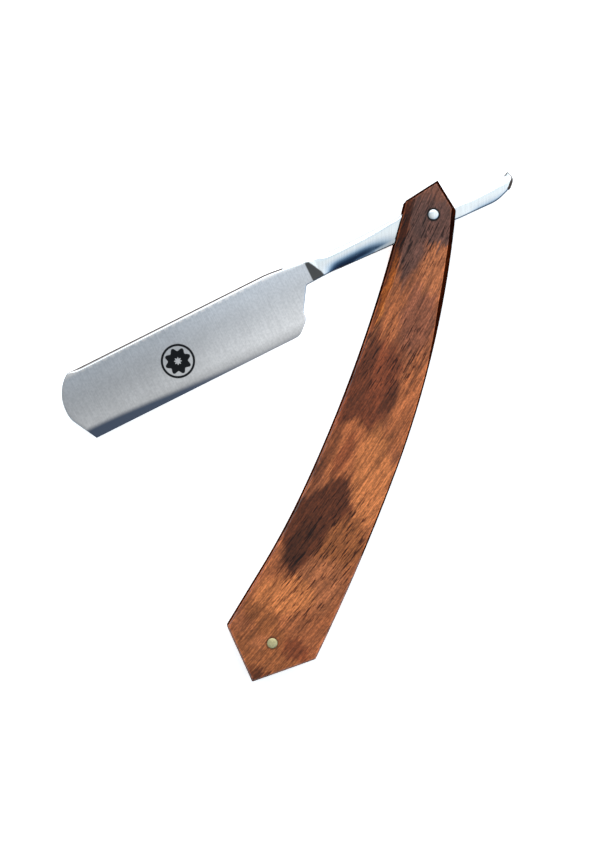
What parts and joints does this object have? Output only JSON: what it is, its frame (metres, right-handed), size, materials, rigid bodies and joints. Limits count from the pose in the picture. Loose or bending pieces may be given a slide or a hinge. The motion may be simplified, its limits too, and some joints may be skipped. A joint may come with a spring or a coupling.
{
  "type": "straight razor",
  "caption": "Folding straight razor: a hollow-ground steel blade with a curled tail, pinned between two wooden scales with pointed, bevelled ends.",
  "frame": {"origin": "on the pivot pin's axis, in the plane of the rear scale's outer face, which the razor lies on", "axes": "+Z along the pivot pin towards the front scale, +Y from the wedge pin to the pivot pin along the handle, +X towards the handle's convex side"},
  "size_m": [0.1061, 0.1717, 0.0108],
  "materials": {
    "scale_wood": "oiled and buffed, semi-gloss",
    "blade_steel": "ground across the blade, shank and tail polished",
    "pin_steel": "peened and buffed",
    "pin_brass": "peened and buffed",
    "wedge_wood": "sanded and oiled",
    "washer_brass": "rolled sheet"
  },
  "bodies": {
    "handle": {"rear_scale": "scale_wood", "front_scale": "scale_wood", "pivot_pin": "pin_steel", "wedge_pin": "pin_brass", "wedge": "wedge_wood", "rear_washer": "washer_brass", "front_washer": "washer_brass"},
    "blade": {"blade": "blade_steel"}
  },
  "joints": [
    {"name": "blade_pivot", "type": "hinge", "parent": "handle", "child": "blade", "pos_m": [0, 0, 0.0053], "axis": [0, 0, -1], "range_deg": [-42, 225]}
  ]
}
